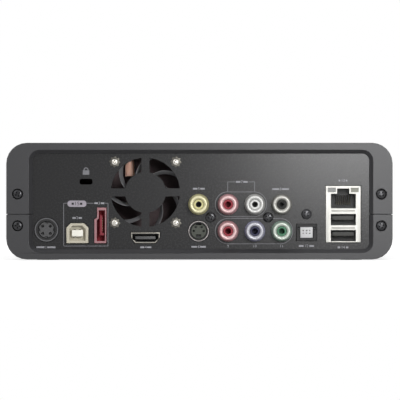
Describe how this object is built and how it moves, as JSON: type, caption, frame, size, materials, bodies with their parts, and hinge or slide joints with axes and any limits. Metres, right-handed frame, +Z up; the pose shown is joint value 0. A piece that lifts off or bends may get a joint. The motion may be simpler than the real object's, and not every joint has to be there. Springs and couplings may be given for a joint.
{
  "type": "media player with hard drive tray",
  "caption": "Desktop media player: two cover shells, recessed panel of sockets with a fan, and a front tray that carries a hard drive out on runners.",
  "frame": {"origin": "under the middle of the bounding box, on the plane of the feet", "axes": "+Z up; the tray and display face -Y, the panel with the sockets faces +Y; +X is the flank beside the drive bay"},
  "size_m": [0.202, 0.2018, 0.0614],
  "materials": {
    "cover_grey": "satin moulded plastic, fine even texture",
    "bezel_black": "gloss black moulded plastic",
    "tray_black": "matte black moulded plastic",
    "panel_black": "satin black painted sheet",
    "rubber": "matte",
    "black_screw": "black finished steel",
    "nickel": "bright nickel plate",
    "steel": "zinc plated sheet",
    "cast_aluminium": "cast, satin",
    "circuit_board": "green solder mask",
    "socket_black": "moulded nylon",
    "socket_ivory": "moulded nylon",
    "socket_red": "moulded nylon",
    "insert_white": "moulded nylon",
    "insert_yellow": "moulded nylon",
    "insert_blue": "moulded nylon",
    "insert_green": "moulded nylon",
    "shutter_grey": "moulded acetal",
    "copper": "enamelled copper wire",
    "smoked_glass": "smoked acrylic",
    "display_glass": "dark display glass"
  },
  "bodies": {
    "case": {"av_port": "nickel", "backplane_board": "circuit_board", "backplane_socket": "socket_black", "base_cover": "cover_grey", "bulk_capacitor": "socket_black", "choke_coil": "copper", "cover_screw_1": "black_screw", "cover_screw_2": "black_screw", "cover_screw_3": "black_screw", "cover_screw_4": "black_screw", "device_port": "socket_ivory", "display_module": "display_glass", "display_window": "smoked_glass", "drive_cage": "steel", "drive_port": "socket_red", "fan_frame": "tray_black", "fan_screw_1": "nickel", "fan_screw_2": "nickel", "fan_screw_3": "nickel", "fan_screw_4": "nickel", "foot_1": "rubber", "foot_2": "rubber", "foot_3": "rubber", "foot_4": "rubber", "front_bezel": "bezel_black", "front_board": "circuit_board", "jack_ground_plate": "nickel", "jack_housing": "socket_black", "jack_insert_audio_left": "insert_white", "jack_insert_audio_right": "socket_red", "jack_insert_coaxial": "socket_black", "jack_insert_component_blue": "insert_blue", "jack_insert_component_green": "insert_green", "jack_insert_component_red": "socket_red", "jack_insert_video": "insert_yellow", "main_board": "circuit_board", "network_insert": "socket_black", "network_stack": "nickel", "optical_port": "socket_black", "panel_screw_1": "black_screw", "panel_screw_2": "black_screw", "panel_screw_3": "black_screw", "power_socket": "socket_black", "processor_heatsink": "cast_aluminium", "rear_panel": "panel_black", "round_video_socket": "socket_black", "top_cover": "cover_grey"},
    "tray": {"tray_frame": "tray_black", "tray_front": "tray_black", "hard_drive": "cast_aluminium", "drive_circuit_board": "circuit_board", "handle_pin": "steel"},
    "handle": {"tray_handle": "tray_black"},
    "release": {"tray_release": "bezel_black"},
    "fan": {"fan_rotor": "tray_black"},
    "power_key": {"power_button": "bezel_black"},
    "menu_key_1": {"menu_button_1": "bezel_black"},
    "menu_key_2": {"menu_button_2": "bezel_black"},
    "menu_key_3": {"menu_button_3": "bezel_black"},
    "shutter": {"optical_shutter": "shutter_grey"}
  },
  "joints": [
    {"name": "tray_slide", "type": "slide", "parent": "case", "child": "tray", "axis": [0, -1, 0], "range_m": [0, 0.13]},
    {"name": "handle_fold", "type": "hinge", "parent": "tray", "child": "handle", "pos_m": [0.0275, -0.0978, 0.0279], "axis": [1, 0, 0], "range_deg": [0, 90]},
    {"name": "release_press", "type": "slide", "parent": "tray", "child": "release", "axis": [0, 1, 0], "range_m": [0, 0.0015], "stiffness_N_per_m": 400},
    {"name": "fan_spin", "type": "hinge", "parent": "case", "child": "fan", "pos_m": [0.0283, 0.0902, 0.0355], "axis": [0, 1, 0], "continuous": true},
    {"name": "power_press", "type": "slide", "parent": "case", "child": "power_key", "axis": [0, 1, 0], "range_m": [0, 0.0006], "stiffness_N_per_m": 500},
    {"name": "menu_press_1", "type": "slide", "parent": "case", "child": "menu_key_1", "axis": [0, 1, 0], "range_m": [0, 0.0006], "stiffness_N_per_m": 500},
    {"name": "menu_press_2", "type": "slide", "parent": "case", "child": "menu_key_2", "axis": [0, 1, 0], "range_m": [0, 0.0006], "stiffness_N_per_m": 500},
    {"name": "menu_press_3", "type": "slide", "parent": "case", "child": "menu_key_3", "axis": [0, 1, 0], "range_m": [0, 0.0006], "stiffness_N_per_m": 500},
    {"name": "shutter_swing", "type": "hinge", "parent": "case", "child": "shutter", "pos_m": [-0.0561, 0.0915, 0.0166], "axis": [-1, 0, 0], "range_deg": [0, 80], "stiffness_Nm_per_rad": 0.0004, "springref_deg": -28.65}
  ]
}
